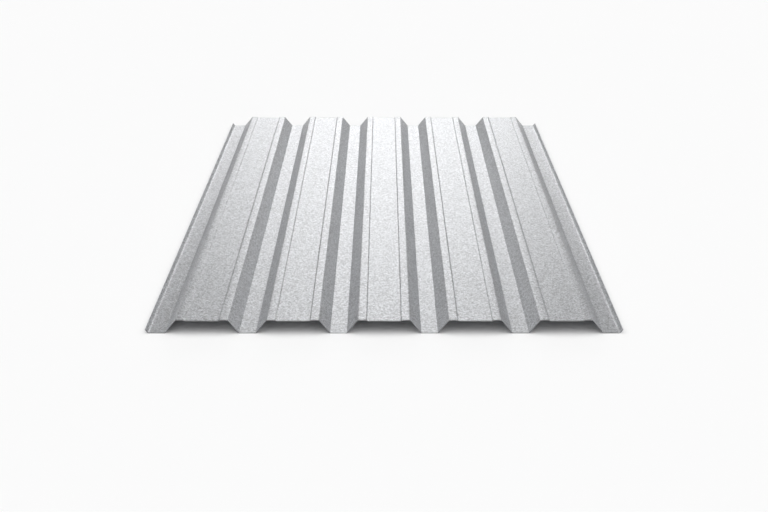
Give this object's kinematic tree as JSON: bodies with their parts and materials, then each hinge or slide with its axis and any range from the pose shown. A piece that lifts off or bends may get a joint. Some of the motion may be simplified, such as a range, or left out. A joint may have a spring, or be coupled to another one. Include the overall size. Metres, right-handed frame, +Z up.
{
  "type": "trapezoidal profiled metal sheet",
  "caption": "Roll-formed roof and wall sheet: wide flat-topped ribs with a shallow recess, narrow valleys between them and a small upturned lip along each side edge.",
  "frame": {"origin": "under the middle of the sheet, on the plane of the valleys' undersides", "axes": "+X across the ribs, +Y along the ribs, +Z up, from the valleys to the crests"},
  "size_m": [1.086, 2, 0.032],
  "materials": {
    "galvanised_steel": "semi-matt galvanised zinc with a fine spangle"
  },
  "bodies": {
    "root": {"profiled_sheet": "galvanised_steel"}
  },
  "joints": []
}
